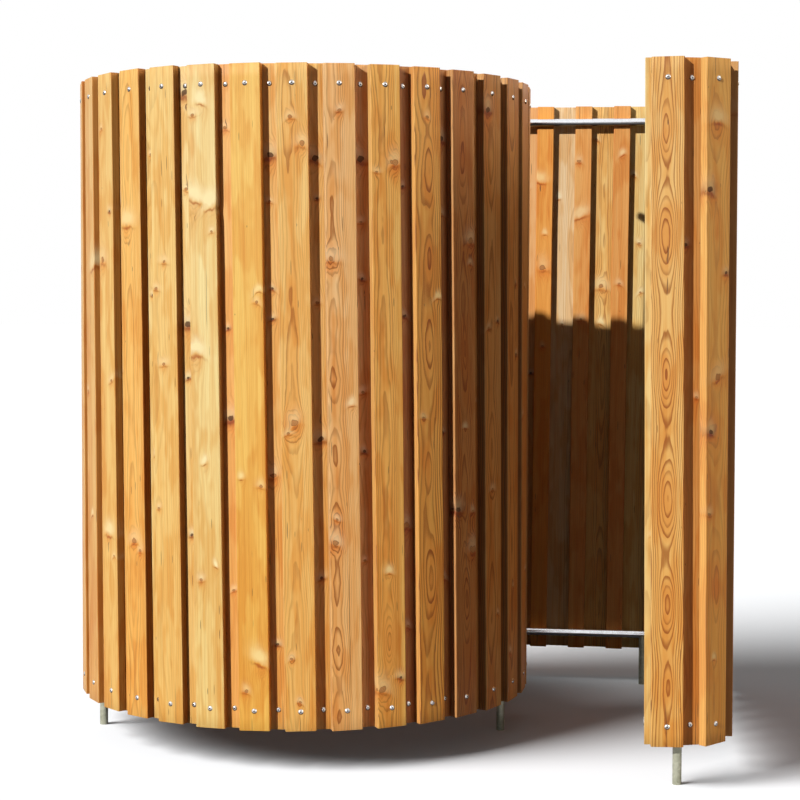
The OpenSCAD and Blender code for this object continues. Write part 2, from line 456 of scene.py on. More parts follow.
def section_points(width, thickness, rounding):
    """The section's points, rings by points by two. The rounding differs from ring to ring."""
    rings = len(rounding)
    points = np.zeros((rings, len(PLAN), 2))
    half = np.stack([np.full(rings, width / 2), np.full(rings, thickness / 2)], 1)
    for index, (kind, side, share, hold) in enumerate(PLAN):
        before, after = np.array(CORNERS[side - 1]), np.array(CORNERS[side])
        if kind == "flat":
            start, end = before * half, after * half
            step = np.sign(after - before)
            start = start + step * rounding[:, None]
            end = end - step * rounding[:, None]
            points[:, index] = start + (end - start) * share + hold * HOLD * step
        else:
            centre = after * (half - rounding[:, None])
            turn = (side - 1 + share) * math.pi / 2
            points[:, index] = centre + rounding[:, None] * np.array([math.cos(turn), math.sin(turn)])
    return points


print("points in a section", len(PLAN))


# %% Slow waves that differ from board to board
def wave(deck, places, length):
    """A smooth, seeded wander between 0 and 1 along a board."""
    total = np.zeros(len(places))
    for stretch in (1.0, 0.45, 0.2):
        total += stretch * np.sin(2 * math.pi * places / (length * stretch) + deck.uniform(0, 6.28))
    return (total / 1.65 + 1) / 2


# %% One board
RING_PITCH = 0.040       # from one ring of a board to the next
END_EASE = 0.0006        # how far an end's edge is eased
SAW_SLACK = 0.0012       # how short of its length a board may be cut at each end
EDGE_SHARE = 0.34        # knots further out than this share of the width meet an edge
CHIP_STEPS = (-2.2, -1.4, -0.8, -0.3, 0.2, 0.7, 1.3, 2.1)      # extra rings about a chip
DEAD_CHIP, LIVE_CHIP = 0.0034, 0.0020    # how deep a knot of each kind is chipped
HOLLOW = (0.0001, 0.0007)                # least and most that a wide face hollows
SLIMMING = 0.0007                        # most that each edge draws in, in waves along a board


def ring_faces(rings, count):
    """Faces between rings of so many points each, ring by ring, every ring closed on itself."""
    return [(ring * count + point, ring * count + (point + 1) % count,
             (ring + 1) * count + (point + 1) % count, (ring + 1) * count + point)
            for ring in range(rings - 1) for point in range(count)]


def bites(board):
    """Knots that the edge cuts through, where a chip has broken off."""
    return [knot for knot in board.knots
            if abs(knot[0]) > board.width * EDGE_SHARE and knot[2] > PIN_KNOT * 1.6
            and knot[3] != UNDER]


def board_mesh(board, deck):
    """Places, faces and end marks of one board. Its faces run ring by ring, its two ends last."""
    half = board.length / 2
    top_cut, foot_cut = deck.uniform(0, SAW_SLACK), deck.uniform(0, SAW_SLACK)
    rings = np.linspace(-half + foot_cut + END_EASE, half - top_cut - END_EASE,
                        round(board.length / RING_PITCH))
    extra = [knot[1] + step * knot[2] * 1.6 for knot in bites(board) for step in CHIP_STEPS]
    rings = np.array(sorted([*rings, *[place for place in extra if abs(place) < half - 0.01]]))
    rounding = ROUND * (0.8 + 0.45 * wave(deck, rings, 0.7))
    section = section_points(board.width, board.thickness, rounding)
    share = section[:, :, 0] / (board.width / 2)
    wide_face = abs(section[:, :, 1]) > board.thickness / 2 - 0.0002
    hollow = deck.uniform(*HOLLOW)
    section[:, :, 1] -= np.sign(section[:, :, 1]) * hollow * (1 - share ** 2) * wide_face
    slim = SLIMMING * wave(deck, rings, 1.3)
    section[:, :, 0] *= (1 - slim / (board.width / 2))[:, None]
    for across, height, size, kind in bites(board):
        side = math.copysign(1, across)
        near = np.exp(-((rings[:, None] - height) / (size * 1.5)) ** 2)
        edge = np.clip((side * share - 0.80) / 0.20, 0, 1) ** 2
        depth = (DEAD_CHIP if kind == DEAD else LIVE_CHIP) * min(size / 0.010, 1)
        section[:, :, 0] -= side * near * edge * depth
        section[:, :, 1] -= np.sign(section[:, :, 1]) * near * edge * depth * 0.5
    count = len(PLAN)
    ends = [section[0] * (1 - END_EASE / 0.02), section[-1] * (1 - END_EASE / 0.02)]
    heights = [-half + foot_cut, *rings, half - top_cut]
    stack = np.stack([np.column_stack([ring, np.full(count, height)])
                      for ring, height in zip([ends[0], *section, ends[1]], heights)])
    faces = ring_faces(len(stack), count)
    places = np.vstack([stack.reshape(-1, 3), stack[0], stack[-1]])
    base = len(places) - 2 * count
    faces.append(tuple(base + point for point in reversed(range(count))))
    faces.append(tuple(base + count + point for point in range(count)))
    sawn = np.concatenate([np.zeros(base), np.ones(2 * count)])
    return places, faces, sawn


# %% The middle of the log beside a board
def sway(deck, heights, width, length):
    """A seeded sway of so much to either side, over so much height."""
    turn = 2 * math.pi * heights / length + deck.uniform(0, 6.28)
    slow = np.sin(turn + 1.1 * np.sin(turn))
    quick = np.sin(2 * math.pi * heights / (length * 0.47) + deck.uniform(0, 6.28))
    return width * (slow + 0.5 * quick) / 1.3


def log_rows(board, heights, deck):
    """Where the pith is beside each height, across and in depth, and the width of a ring."""
    across = board.pith[0] + sway(deck, heights, 0.25 * board.sway, board.reach * 1.6)
    lean = deck.uniform(-0.004, 0.004) * heights
    depth = board.pith[1] + sway(deck, heights, board.sway, board.reach) + lean
    return np.column_stack([across, depth, np.full(len(heights), board.ring)])


# %% The two knots nearest to each face
FAR_KNOT = (9.0, 9.0, 0.001, LIVE)       # for boards with fewer than two


def nearest_knots(board, centres):
    """For each face centre, the rows of its two nearest knots."""
    knots = np.array([*board.knots, FAR_KNOT, FAR_KNOT])
    aside = (centres[:, None, 0] - knots[None, :, 0]) / 3
    above = (centres[:, None, 1] - knots[None, :, 1]) / 6
    gaps = np.hypot(aside, above) / (knots[None, :, 2] + 0.004)
    order = gaps.argsort(axis=1)
    return knots[order[:, 0]], knots[order[:, 1]]


# %% [markdown]
# A panel's boards become one object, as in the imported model. Its unwrapped map lays the boards
# side by side, each one opened at a hidden corner, with the sawn ends in a band along the top.

# %% A map of a panel
MAP_MARGIN = 0.004       # free strip about each board on the map
LONG_BAND = 0.93         # height of the map that the long faces take
END_BAND = (0.945, 0.05) # where the band of the sawn ends starts, and its height


def unwrap_panel(mesh, pieces):
    """Lays out a map for the panel: boards side by side, their ends above them."""
    count = len(PLAN)
    slot = 1 / len(pieces)
    spots = np.zeros((len(mesh.loops), 2))
    loop = 0
    for number, (board, places, faces) in enumerate(pieces):
        outline = places[:count, :2]
        steps = np.linalg.norm(np.roll(outline, -1, 0) - outline, axis=1)
        walked = np.concatenate([[0], np.cumsum(steps)]) / steps.sum()
        left, wide = number * slot + MAP_MARGIN, slot - 2 * MAP_MARGIN
        heights = places[:, 2] / board.length + 0.5
        for face, corners in enumerate(faces[:-2]):
            point = face % count
            for corner, index in enumerate(corners):
                share = walked[point + 1] if corner in (1, 2) else walked[point]
                spots[loop] = (left + wide * share, MAP_MARGIN + LONG_BAND * heights[index])
                loop += 1
        for cap, corners in enumerate(faces[-2:]):
            for index in corners:
                x = places[index, 0] / board.width + 0.5
                y = places[index, 1] / board.thickness + 0.5
                spots[loop] = (left + wide * (cap + 0.04 + 0.92 * x) / 2,
                               END_BAND[0] + END_BAND[1] * y)
                loop += 1
    mesh.uv_layers.new(name="OFBake").data.foreach_set("uv", spots.ravel())


# %% Pieces that remember things
ATTRIBUTE_FIELDS = {"FLOAT": "value", "FLOAT_VECTOR": "vector", "FLOAT_COLOR": "color"}


def remember(mesh, name, kind, domain, values):
    """Stores a value on every point or face, for the materials to read."""
    attribute = mesh.attributes.new(name, kind, domain)
    attribute.data.foreach_set(ATTRIBUTE_FIELDS[kind], np.asarray(values, np.float32).ravel())


def smooth_object(name, vertices, faces, material, sharp):
    """A smooth-shaded piece of the one body, whose edges above an angle in degrees stay sharp."""
    mesh = bpy.data.meshes.new(name)
    mesh.from_pydata(vertices, [], faces)
    mesh.polygons.foreach_set("use_smooth", [True] * len(mesh.polygons))
    mesh.set_sharp_from_angle(angle=math.radians(sharp))
    mesh.materials.append(material)
    made = placed(name, mesh)
    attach(made, "root")
    return made


# %% A panel of boards
def make_panel(name, boards, material, deck):
    """One object for the boards of one node, in its place."""
    vertices, faces, pieces, base = [], [], [], 0
    on_points = {"place": [], "tint": [], "log": [], "board": [], "crack": [], "end": []}
    on_faces = {"knot_a": [], "knot_b": []}
    for board in boards:
        places, board_faces, sawn = board_mesh(board, deck)
        pieces.append((board, places, board_faces))
        vertices.append(board.world(places))
        faces += [tuple(base + index for index in face) for face in board_faces]
        count = len(places)
        base += count
        on_points["place"].append(places)
        on_points["tint"].append(np.tile([*board.tint, 1], (count, 1)))
        on_points["log"].append(log_rows(board, places[:, 2], random.Random(board.seed)))
        on_points["board"].append(np.tile([board.contrast, board.sapwood, board.seed], (count, 1)))
        on_points["crack"].append(np.tile(board.crack, (count, 1)))
        on_points["end"].append(sawn)
        centres = np.array([places[list(face)].mean(0) for face in board_faces])
        for kept, rows in zip(on_faces.values(), nearest_knots(board, centres[:, [0, 2]])):
            kept.append(rows)
    panel = smooth_object(name, np.vstack(vertices), faces, material, 50)
    unwrap_panel(panel.data, pieces)
    kinds = {"tint": "FLOAT_COLOR", "end": "FLOAT"}
    for kept, values in on_points.items():
        remember(panel.data, kept, kinds.get(kept, "FLOAT_VECTOR"), "POINT", np.concatenate(values))
    for kept, values in on_faces.items():
        rows = np.vstack(values)
        remember(panel.data, kept, "FLOAT_VECTOR", "FACE", rows[:, :3])
        remember(panel.data, f"{kept}_kind", "FLOAT", "FACE", rows[:, 3])
    return panel


# %% [markdown]
# ## Building materials
# The grain, the knots and the zinc take many small nodes. Two helpers keep them readable. One
# adds a node, sets it and joins its inputs in one call. The other lets what a node gives be
# added, multiplied or ramped as a number is, so that a material reads like a sum.

# %% What a node gives
class Value:
    """A number, place or colour that a node gives, to reckon with."""

    def __init__(self, steps, socket):
        self.steps, self.socket = steps, socket

    def __add__(self, other):
        return self.steps.maths("ADD", self, other)

    def __sub__(self, other):
        return self.steps.maths("SUBTRACT", self, other)

    def __rsub__(self, other):
        return self.steps.maths("SUBTRACT", other, self)

    def __mul__(self, other):
        return self.steps.maths("MULTIPLY", self, other)

    def __truediv__(self, other):
        return self.steps.maths("DIVIDE", self, other)

    def __pow__(self, other):
        return self.steps.maths("POWER", self, other)

    def scaled(self, by, plus):
        return self.steps.maths("MULTIPLY_ADD", self, by, plus)

    def ramp(self, low, high, start=0.0, end=1.0):
        """Rises smoothly from start to end as the value goes from low to high."""
        given = (self, low, high, start, end)
        return self.steps.node("MapRange", given, interpolation_type="SMOOTHSTEP")["Result"]

    def parts(self):
        return list(self.steps.node("SeparateXYZ", (self,)).values())


# %% Adding nodes
class Steps:
    """Adds nodes to a tree and joins them."""

    def __init__(self, tree):
        self.tree = tree

    def feed(self, socket, value):
        if isinstance(value, Value):
            self.tree.links.new(value.socket, socket)
        else:
            socket.default_value = (*value, 1.0) if socket.type == "RGBA" else value

    def feed_all(self, sockets, values):
        for name, value in values.items():
            self.feed(sockets[name], value)

    def node(self, kind, inputs=(), **settings):
        """Adds a node with its inputs, by name or in order. Returns what it gives, by name."""
        made = self.tree.nodes.new("ShaderNode" + kind)
        for name, value in settings.items():
            setattr(made, name, value)
        sockets = [socket for socket in made.inputs if socket.enabled]
        if isinstance(inputs, dict):
            self.feed_all({socket.name: socket for socket in sockets}, inputs)
        else:
            self.feed_all(sockets, dict(enumerate(inputs)))
        return {socket.name: Value(self, socket) for socket in made.outputs if socket.enabled}

    def maths(self, operation, *values, **settings):
        """A sum on numbers, or on a place or colour part by part."""
        whole = isinstance(values[0], Value) and values[0].socket.type != "VALUE"
        made = self.node("VectorMath" if whole else "Math", values, operation=operation, **settings)
        return made["Vector" if whole else "Value"]

    def joined(self, x, y, z):
        return self.node("CombineXYZ", (x, y, z))["Vector"]

    def noise(self, vector, scale, detail=2.0, roughness=0.5):
        """A noise as a number, and as a colour."""
        return list(self.node("TexNoise", (vector, scale, detail, roughness)).values())

    def mix(self, share, below, above, mode="MIX"):
        return self.node("Mix", (share, below, above), data_type="RGBA", blend_type=mode)["Result"]

    def stain(self, colour, share, by):
        """Multiplies a share of another colour into one."""
        return self.mix(share, colour, by, "MULTIPLY")

    def kept(self, name, output="Vector"):
        """What a mesh remembers under a name."""
        return self.node("Attribute", attribute_name=name)[output]

    def bump(self, height, strength, distance):
        given = {"Strength": strength, "Distance": distance, "Height": height}
        return self.node("Bump", given)["Normal"]


# %% New groups and materials
def new_group(name, inputs, outputs):
    """A shader node group with named inputs and outputs. Kinds are Float, Vector and Color."""
    tree = bpy.data.node_groups.new(name, "ShaderNodeTree")
    for direction, sockets in (("INPUT", inputs), ("OUTPUT", outputs)):
        for socket, kind in sockets.items():
            tree.interface.new_socket(socket, in_out=direction, socket_type="NodeSocket" + kind)
    steps = Steps(tree)
    entry = tree.nodes.new("NodeGroupInput").outputs
    leave = tree.nodes.new("NodeGroupOutput").inputs
    return tree, steps, {name: Value(steps, entry[name]) for name in inputs}, leave


def new_material(name):
    """An empty material with a Principled surface."""
    material = bpy.data.materials.new(name)
    material.use_nodes = True
    surface = material.node_tree.nodes["Principled BSDF"].inputs
    return material, Steps(material.node_tree), surface


# %% [markdown]
# ## Knots
# A branch that grew through the board shows as a round or oval knot. The growth rings bend round
# it, as water bends round a post, and the wood about it is full of resin. The slanting fibres beside
# it catch light on one side and lie in shade on the other, and that light and shade is painted into
# the colour. So a knot does four things: it pushes the places at which the rings are read, it marks
# its core, it spreads a halo, and it paints a highlight above itself and shade below. A dead branch
# also smears dark bark about itself.
#
# A scar, marked by its painted highlight and shade, and a knot that lies under the face show no
# core. The one under the face lifts the rings into long closed ovals, which is the cat's eye figure
# of a bold board. Two knots at a time are enough for any spot on a board.

# %% Knot group
KIND_GAP = 0.3           # how near to a kind's number counts as that kind
NO_CORE = 9.0            # how many knot sizes away a core is that doesn't show

# How far each thing that a knot does reaches, across and along, in knot sizes
OVALS = {"push": (2.4, 6.0), "bulge": (2.2, 3.6), "core": (1.0, 0.85), "halo": (2.6, 3.6)}


def knot_group():
    sums = {name: "Float" for name in ("Push", "Bulge", "Core", "Halo", "Painted light and shade", "Dead")}
    tree, steps, entry, leave = new_group(
        "Knot", {"Place": "Vector", "Knot": "Vector", "Kind": "Float", "Wobble": "Vector", **sums}, sums)
    across, _, along = entry["Place"].parts()
    knot_across, knot_along, size = entry["Knot"].parts()
    wobble_x, _, wobble_z = entry["Wobble"].parts()
    hidden, is_scar, is_dead = [steps.maths("COMPARE", entry["Kind"], kind, KIND_GAP)
                                for kind in (UNDER, SCAR, DEAD)]
    no_core = steps.maths("GREATER_THAN", entry["Kind"], 1.5)
    has_core = 1.0 - no_core
    rough = size * hidden.scaled(-0.9, 1.0)
    side = across - knot_across + wobble_x * rough
    up = along - knot_along + wobble_z * rough
    x = side / (size * hidden.scaled(-0.36, 1.0))
    z = up / (size * hidden.scaled(0.7, 1.0))

    def square(part):
        return part * part

    def oval(name):
        """Squared distance from the knot, 1 at the edge of the oval."""
        wide, tall = OVALS[name]
        return square(x / wide) + square(z / tall)

    def fading(distance):
        return steps.maths("EXPONENT", distance * -1.0)

    dice = steps.node("TexWhiteNoise", {"Vector": entry["Knot"]}, noise_dimensions="3D")
    slant, bow, reach = dice["Color"].parts()
    push = side * fading(oval("push")) * 0.85
    bulge = size * fading(oval("bulge")) * 1.1
    core = steps.maths("SQRT", oval("core")) + no_core * NO_CORE
    halo = fading(oval("halo")) * has_core.scaled(0.6, 0.4)
    aside = is_scar.scaled(reach.scaled(2.4, -1.2), x)
    lift = slant.scaled(0.9, -0.45) * aside
    arch = bow.scaled(0.22, -0.05) * (aside * aside)
    rise = z + lift + steps.maths("MINIMUM", arch, 3.5) + has_core
    spread = fading(square(aside / reach.scaled(2.2, 1.7)))
    # Painted highlight above the knot and painted shade below it
    painted_highlight = steps.maths("MAXIMUM", rise, 0.0) * fading(square(rise / 3.2))
    painted_shade_below = fading(square((rise + 0.3) / 0.42)) * spread
    share = is_scar.scaled(0.6, is_scar.scaled(0.4, has_core * 0.6))
    painted_relief = (painted_highlight - painted_shade_below) * spread * share
    dead = is_dead * core.ramp(3.4, 1.1)
    steps.feed_all(leave, {"Push": entry["Push"] + push, "Bulge": entry["Bulge"] + bulge,
                           "Core": steps.maths("MINIMUM", entry["Core"], core),
                           "Halo": steps.maths("MAXIMUM", entry["Halo"], halo),
                           "Painted light and shade": entry["Painted light and shade"] + painted_relief,
                           "Dead": steps.maths("MAXIMUM", entry["Dead"], dead)})
    return tree


KNOT = knot_group()
print("nodes in a knot", len(KNOT.nodes))

# %% [markdown]
# ## Growth rings
# A log is a stack of cones, one for each year, and a board is a slice through them. A slice near
# the middle of the log cuts the cones lengthwise, which gives arches and ovals, and a slice to
# one side gives straight lines. The board's points already know where the middle of the log, the
# pith, lies beside them. We take the distance from it, roughen it a little, and count rings in
# it. Each ring is pale early wood that darkens slowly to late wood and then stops short.

# %% Growth ring group
def ring_group():
    tree, steps, entry, leave = new_group(
        "Growth rings",
        {"Place": "Vector", "Log": "Vector", "Seed": "Float", "Push": "Float", "Bulge": "Float"},
        {"Late wood": "Float", "From pith": "Float"})
    across, depth, _ = entry["Place"].parts()
    pith_across, pith_depth, ring_width = entry["Log"].parts()
    seed = entry["Seed"]
    x = across - entry["Push"] - pith_across
    y = depth - pith_depth
    near = entry["Place"] * (1.0, 1.0, 0.2) + steps.joined(seed, seed * 2.3, seed * 0.7)

    def uneven(waves, height):
        """So many waves to a metre, of so many metres from their lowest to their highest."""
        return steps.noise(near, waves, 1.0)[0].scaled(height, -height / 2)

    rough = uneven(17.0, 0.011) + uneven(90.0, 0.0018)
    reach = steps.maths("SQRT", x * x + y * y) + rough - entry["Bulge"]
    count = reach / ring_width
    year = steps.maths("FLOOR", count)
    part = steps.maths("FRACT", count)
    strength = steps.node("TexWhiteNoise", {"W": year + seed}, noise_dimensions="1D")["Value"]
    late = part.ramp(0.40, 0.88) * part.ramp(0.90, 1.0, 1.0, 0.0) * strength.scaled(0.65, 0.35)
    steps.feed_all(leave, {"Late wood": late, "From pith": reach})
    return tree


GROWTH_RINGS = ring_group()
print("nodes in the growth rings", len(GROWTH_RINGS.nodes))

# %% [markdown]
# ## Streaks, fibre and flecks
# Between the rings, wood is never one colour. Blotches of richer colour drift over it, slow bands
# run its whole length, short streaks cross from ring to ring, and the fibres give a hair-fine
# texture that the plane leaves slightly raised. Resin ducts and drying cracks are dark flecks
# that lie along the grain.

# %% Fibre group
def fibre_group():
    tree, steps, entry, leave = new_group(
        "Fibre", {"Place": "Vector", "Seed": "Float", "Push": "Float", "Crack": "Vector"},
        {"Blotch": "Float", "Band": "Float", "Streak": "Float", "Fibre": "Float", "Fleck": "Float"})
    seed = entry["Seed"]
    shift = steps.joined(seed * 3.1, seed, seed * 1.3)
    place = entry["Place"] + steps.joined(entry["Push"] * -1.0, 0.0, 0.0)

    def stretched(share):
        return place * (1.0, 1.0, share) + shift

    flat = stretched(1.0) * (48.0, 48.0, 8.0)
    cells = steps.node("TexVoronoi", {"Vector": flat, "Scale": 1.0, "Randomness": 0.9})
    gap_x, gap_y, gap_z = (flat - cells["Position"]).parts()
    chance, length, _ = cells["Color"].parts()
    away = (gap_x / 0.05) ** 2.0 + (gap_z / length.scaled(0.22, 0.02)) ** 2.0 + (gap_y / 0.6) ** 2.0
    duct = away.ramp(0.5, 1.2, 1.0, 0.0) * steps.maths("LESS_THAN", chance, 0.13)
    band = steps.noise(stretched(0.03), 60.0, 1.0)[0]
    crack_x, crack_z, crack_half = entry["Crack"].parts()
    across, _, along = place.parts()
    beside = steps.maths("ABSOLUTE", band.scaled(0.006, across) - crack_x)
    open_by = (steps.maths("ABSOLUTE", along - crack_z) / crack_half).ramp(1.0, 0.5)
    crack = beside.ramp(0.0010, 0.0005) * open_by
    steps.feed_all(leave, {"Blotch": steps.noise(stretched(0.22), 21.0, 2.0, 0.6)[0], "Band": band,
                           "Streak": steps.noise(stretched(0.012), 190.0, 1.0, 0.6)[0],
                           "Fibre": steps.noise(stretched(0.03), 620.0, 1.0, 0.6)[0],
                           "Fleck": steps.maths("MAXIMUM", duct, crack)})
    return tree


FIBRE = fibre_group()
print("nodes in the fibre", len(FIBRE.nodes))

# %% [markdown]
# ## Planed softwood
# Both layers of boards are the same wood with the same clear, honey-coloured finish. Each step
# below lays one thing over the last: first the tint of the board, then heartwood, blotches,
# bands and streaks, then the late wood, the hair-fine fibre, a warmer tone towards the foot, and
# a knot's halo and bark, then painted light and shade on the narrow side faces, and last a knot's
# painted highlight and shade, its core, the flecks and the sawn ends. The side face to the left,
# towards the key lamp, gets a painted highlight, and the other one gets painted shade.
#
# Warm boards that face each other would light their gaps with more and more orange. In daylight
# such gaps look deep and brown, and the inside of the cubicle nearly black. So the wood passes on
# only a share of the light that it is lit by, and the inner layer passes on less than the outer.

# %% The two nearest knots
def knot_sums(steps, place):
    """What the two knots nearest to a spot do there, the second added to the first."""
    wobble = steps.noise(place * (1.0, 1.0, 0.6), 62.0, 1.0)[1] - (0.5, 0.5, 0.5)
    wobble = wobble * (1.7, 0.0, 1.7)
    sums = {"Push": 0.0, "Bulge": 0.0, "Core": NO_CORE, "Halo": 0.0, "Painted light and shade": 0.0, "Dead": 0.0}
    for kept in ("knot_a", "knot_b"):
        given = {"Place": place, "Knot": steps.kept(kept), "Wobble": wobble,
                 "Kind": steps.kept(f"{kept}_kind", "Fac"), **sums}
        sums = steps.node("Group", given, node_tree=KNOT)
    return sums


# %% Stains of the clear grain
def grain_stains(steps, rings, fibre, sums, along, warmth):
    """Shares and colours of the stains that lie over a board's tint, in their order."""
    contrast, sap_edge, _ = steps.kept("board").parts()
    heart = rings["From pith"].ramp(sap_edge + 0.003, sap_edge - 0.003)
    strength = contrast * heart.scaled(0.4, 0.6)
    late = steps.maths("MULTIPLY", rings["Late wood"], strength, use_clamp=True)
    return [(heart * 0.6, (0.94, 0.78, 0.60)),
            (fibre["Blotch"].ramp(0.47, 0.60), (0.92, 0.78, 0.60)),
            (fibre["Band"].ramp(0.36, 0.66), (0.95, 0.86, 0.74)),
            (fibre["Streak"].ramp(0.42, 0.70), (0.94, 0.84, 0.72)),
            (late, (0.45, 0.28, 0.155)),
            (fibre["Fibre"].ramp(0.3, 0.8), (0.95, 0.91, 0.86)),
            (along.ramp(0.9, -1.0, 0.0, warmth), (0.96, 0.84, 0.64)),
            (sums["Halo"], (0.90, 0.62, 0.36)),
            (sums["Dead"] * 0.7, (0.42, 0.24, 0.13))]


# %% Cores of the knots
def branch_wood(steps, sums, core, rim):
    """Colour of a branch cut through: years of its own, bark where it was dead, a dark rim."""
    year = steps.maths("FRACT", sums["Core"] * 3.2)
    live = steps.mix(year, (0.60, 0.27, 0.085), (0.36, 0.13, 0.034))
    return steps.stain(steps.mix(sums["Dead"], live, (0.085, 0.030, 0.010)), rim, (0.42, 0.28, 0.18))


# %% Softwood material
def softwood(name, warmth, passed_on, half_width):
    material, steps, surface = new_material(name)
    place, tint, end = steps.kept("place"), steps.kept("tint", "Color"), steps.kept("end", "Fac")
    aside, _, along = place.parts()
    sums = knot_sums(steps, place)
    shared = {"Place": place, "Seed": steps.kept("board").parts()[2], "Push": sums["Push"]}
    rings = steps.node("Group", {**shared, "Log": steps.kept("log"), "Bulge": sums["Bulge"]},
                       node_tree=GROWTH_RINGS)
    fibre = steps.node("Group", {**shared, "Crack": steps.kept("crack")}, node_tree=FIBRE)

    colour = tint
    for share, by in grain_stains(steps, rings, fibre, sums, along, warmth):
        colour = steps.stain(colour, share, by)
    # Painted highlight on the side face towards the key lamp, and painted shade on the other side face
    painted_side_highlight = aside.ramp(half_width - 0.0030, half_width - 0.0008, 0.0, 0.18)
    colour = steps.mix(painted_side_highlight, colour, (0.96, 0.68, 0.32))
    painted_side_shade = aside.ramp(0.0020 - half_width, 0.0006 - half_width)
    colour = steps.stain(colour, painted_side_shade, (0.84, 0.56, 0.34))
    # A knot's painted highlight and painted shade, laid into the colour
    painted_highlight, shady = [steps.maths("MULTIPLY", steps.maths("MAXIMUM", part, 0.0), depth, use_clamp=True)
                   for part, depth in ((sums["Painted light and shade"], 0.85), (sums["Painted light and shade"] * -1.0, 1.1))]
    colour = steps.mix(painted_highlight, colour, steps.mix(0.35, tint, (0.96, 0.80, 0.48)))
    colour = steps.stain(colour, shady, (0.62, 0.38, 0.20))
    core = sums["Core"].ramp(1.10, 0.80)
    rim = core * sums["Core"].ramp(0.66, 0.95)
    colour = steps.mix(core * 0.88, colour, branch_wood(steps, sums, core, rim))
    colour = steps.mix(fibre["Fleck"] * 0.75, colour, (0.13, 0.05, 0.02))
    colour = steps.stain(colour, end, (0.74, 0.58, 0.42))
    colour = steps.stain(colour, steps.node("LightPath")["Is Diffuse Ray"], passed_on)

    height = rings["Late wood"] * 0.35
    for value, share in ((fibre["Fibre"], 0.3), (fibre["Streak"], 0.5), (fibre["Fleck"], -1.6),
                         (sums["Halo"], 1.5), (rim, -1.4)):
        height = value.scaled(share, height)
    rough = core.scaled(0.30, end.scaled(0.2, fibre["Fibre"].scaled(0.22, 0.40)))
    steps.feed_all(surface, {"Base Color": colour, "Roughness": rough, "Specular IOR Level": 0.35,
                             "Normal": steps.bump(height, 0.7, 0.0006)})
    return material


wood = {"outer": softwood("planed_softwood_outer", 0.95, (0.56, 0.32, 0.15),
                          layers["outer"][0].width / 2),
        "inner": softwood("planed_softwood_inner", 0.75, (0.06, 0.06, 0.05),
                          layers["inner"][0].width / 2)}
print("materials", [material.name for material in wood.values()])

# %% Build all boards
cutter = random.Random(5)
for layer, boards in layers.items():
    for panel in PANELS:
        piece = make_panel(f"{panel}_{layer}", [b for b in boards if b.panel == panel],
                           wood[layer], cutter)
        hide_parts(f"{panel}_{layer}_boards")

# %% [markdown]
# ## Screws
# Every board is held to each ring by one stainless screw with a low dome head, a thin flange and
# a hexagon socket. The head is turned from a profile, and the socket is cut as six walls and a
# floor, so that it reads as a socket from close by.

# %% Screw head
HEAD_STEPS = 24
SOCKET_RADIUS = 0.0026
SOCKET_DEPTH = 0.0018
# The head's profile as radius and height, from the flange up to the flat round the socket
DOME = [(0.0079, 0.0), (0.0080, 0.0005), (0.0077, 0.0009), (0.0069, 0.0012), (0.0065, 0.0018),
        (0.0057, 0.0026), (0.0046, 0.0031), (0.0034, 0.0034)]


def turns(count):
    """Angles of so many points on a circle."""
    return [2 * math.pi * step / count for step in range(count)]


def hexagon(angle):
    """Radius of the socket at an angle."""
    sixth = angle % (math.pi / 3) - math.pi / 6
    return SOCKET_RADIUS * math.cos(math.pi / 6) / math.cos(sixth)


def screw_head(turn):
    """Vertices, faces and painted socket shade of a head that stands on the plane of the board, its top
    along Y.
    """
    angles = turns(HEAD_STEPS)
    profiles = [([radius] * HEAD_STEPS, rise) for radius, rise in DOME]
    profiles += [([hexagon(angle - turn) for angle in angles], rise)
                 for rise in (DOME[-1][1], DOME[-1][1] - SOCKET_DEPTH)]
    vertices = [(radius * math.cos(angle), rise, radius * math.sin(angle))
                for radii, rise in profiles for radius, angle in zip(radii, angles)]
    faces = [(b, a, d, c) for a, b, c, d in ring_faces(len(profiles), HEAD_STEPS)]
    floor = len(vertices) - HEAD_STEPS
    faces.append(tuple(floor + step for step in reversed(range(HEAD_STEPS))))
    faces.append(tuple(range(HEAD_STEPS)))
    return np.array(vertices), faces, [0.0] * floor + [1.0] * HEAD_STEPS


print("faces in a head", len(screw_head(0)[1]))


# %% [markdown]
# ## Metal
# Stainless steel is bright and only a little clouded. Its underside has a painted reflection of
# the brown wall, and the floor of each socket has painted shade. Hot-dip zinc shows the spangle of
# its crystals and a darker bloom. The rings are bright, with painted shade underneath, while the
# legs are dull and greenish, with weaker painted shade underneath.

# %% Spangle group
def spangle_group():
    tree, steps, entry, leave = new_group(
        "Zinc spangle", {"Place": "Vector", "Grain size": "Float"},
        {"Spangle": "Float", "Bloom": "Float"})
    size = steps.maths("DIVIDE", 1.0, entry["Grain size"])
    cells = steps.node("TexVoronoi", {"Vector": entry["Place"], "Scale": size})
    shade, _, _ = cells["Color"].parts()
    steps.feed_all(leave, {"Spangle": shade, "Bloom": steps.noise(entry["Place"], 16.0, 3.0)[0]})
    return tree


SPANGLE = spangle_group()
print("nodes in the spangle", len(SPANGLE.nodes))


# %% Metals
def where_and_up(steps):
    """Where a spot lies on the object, and how far its surface faces up."""
    _, _, facing_up = steps.node("NewGeometry")["Normal"].parts()
    return steps.node("TexCoord")["Object"], facing_up


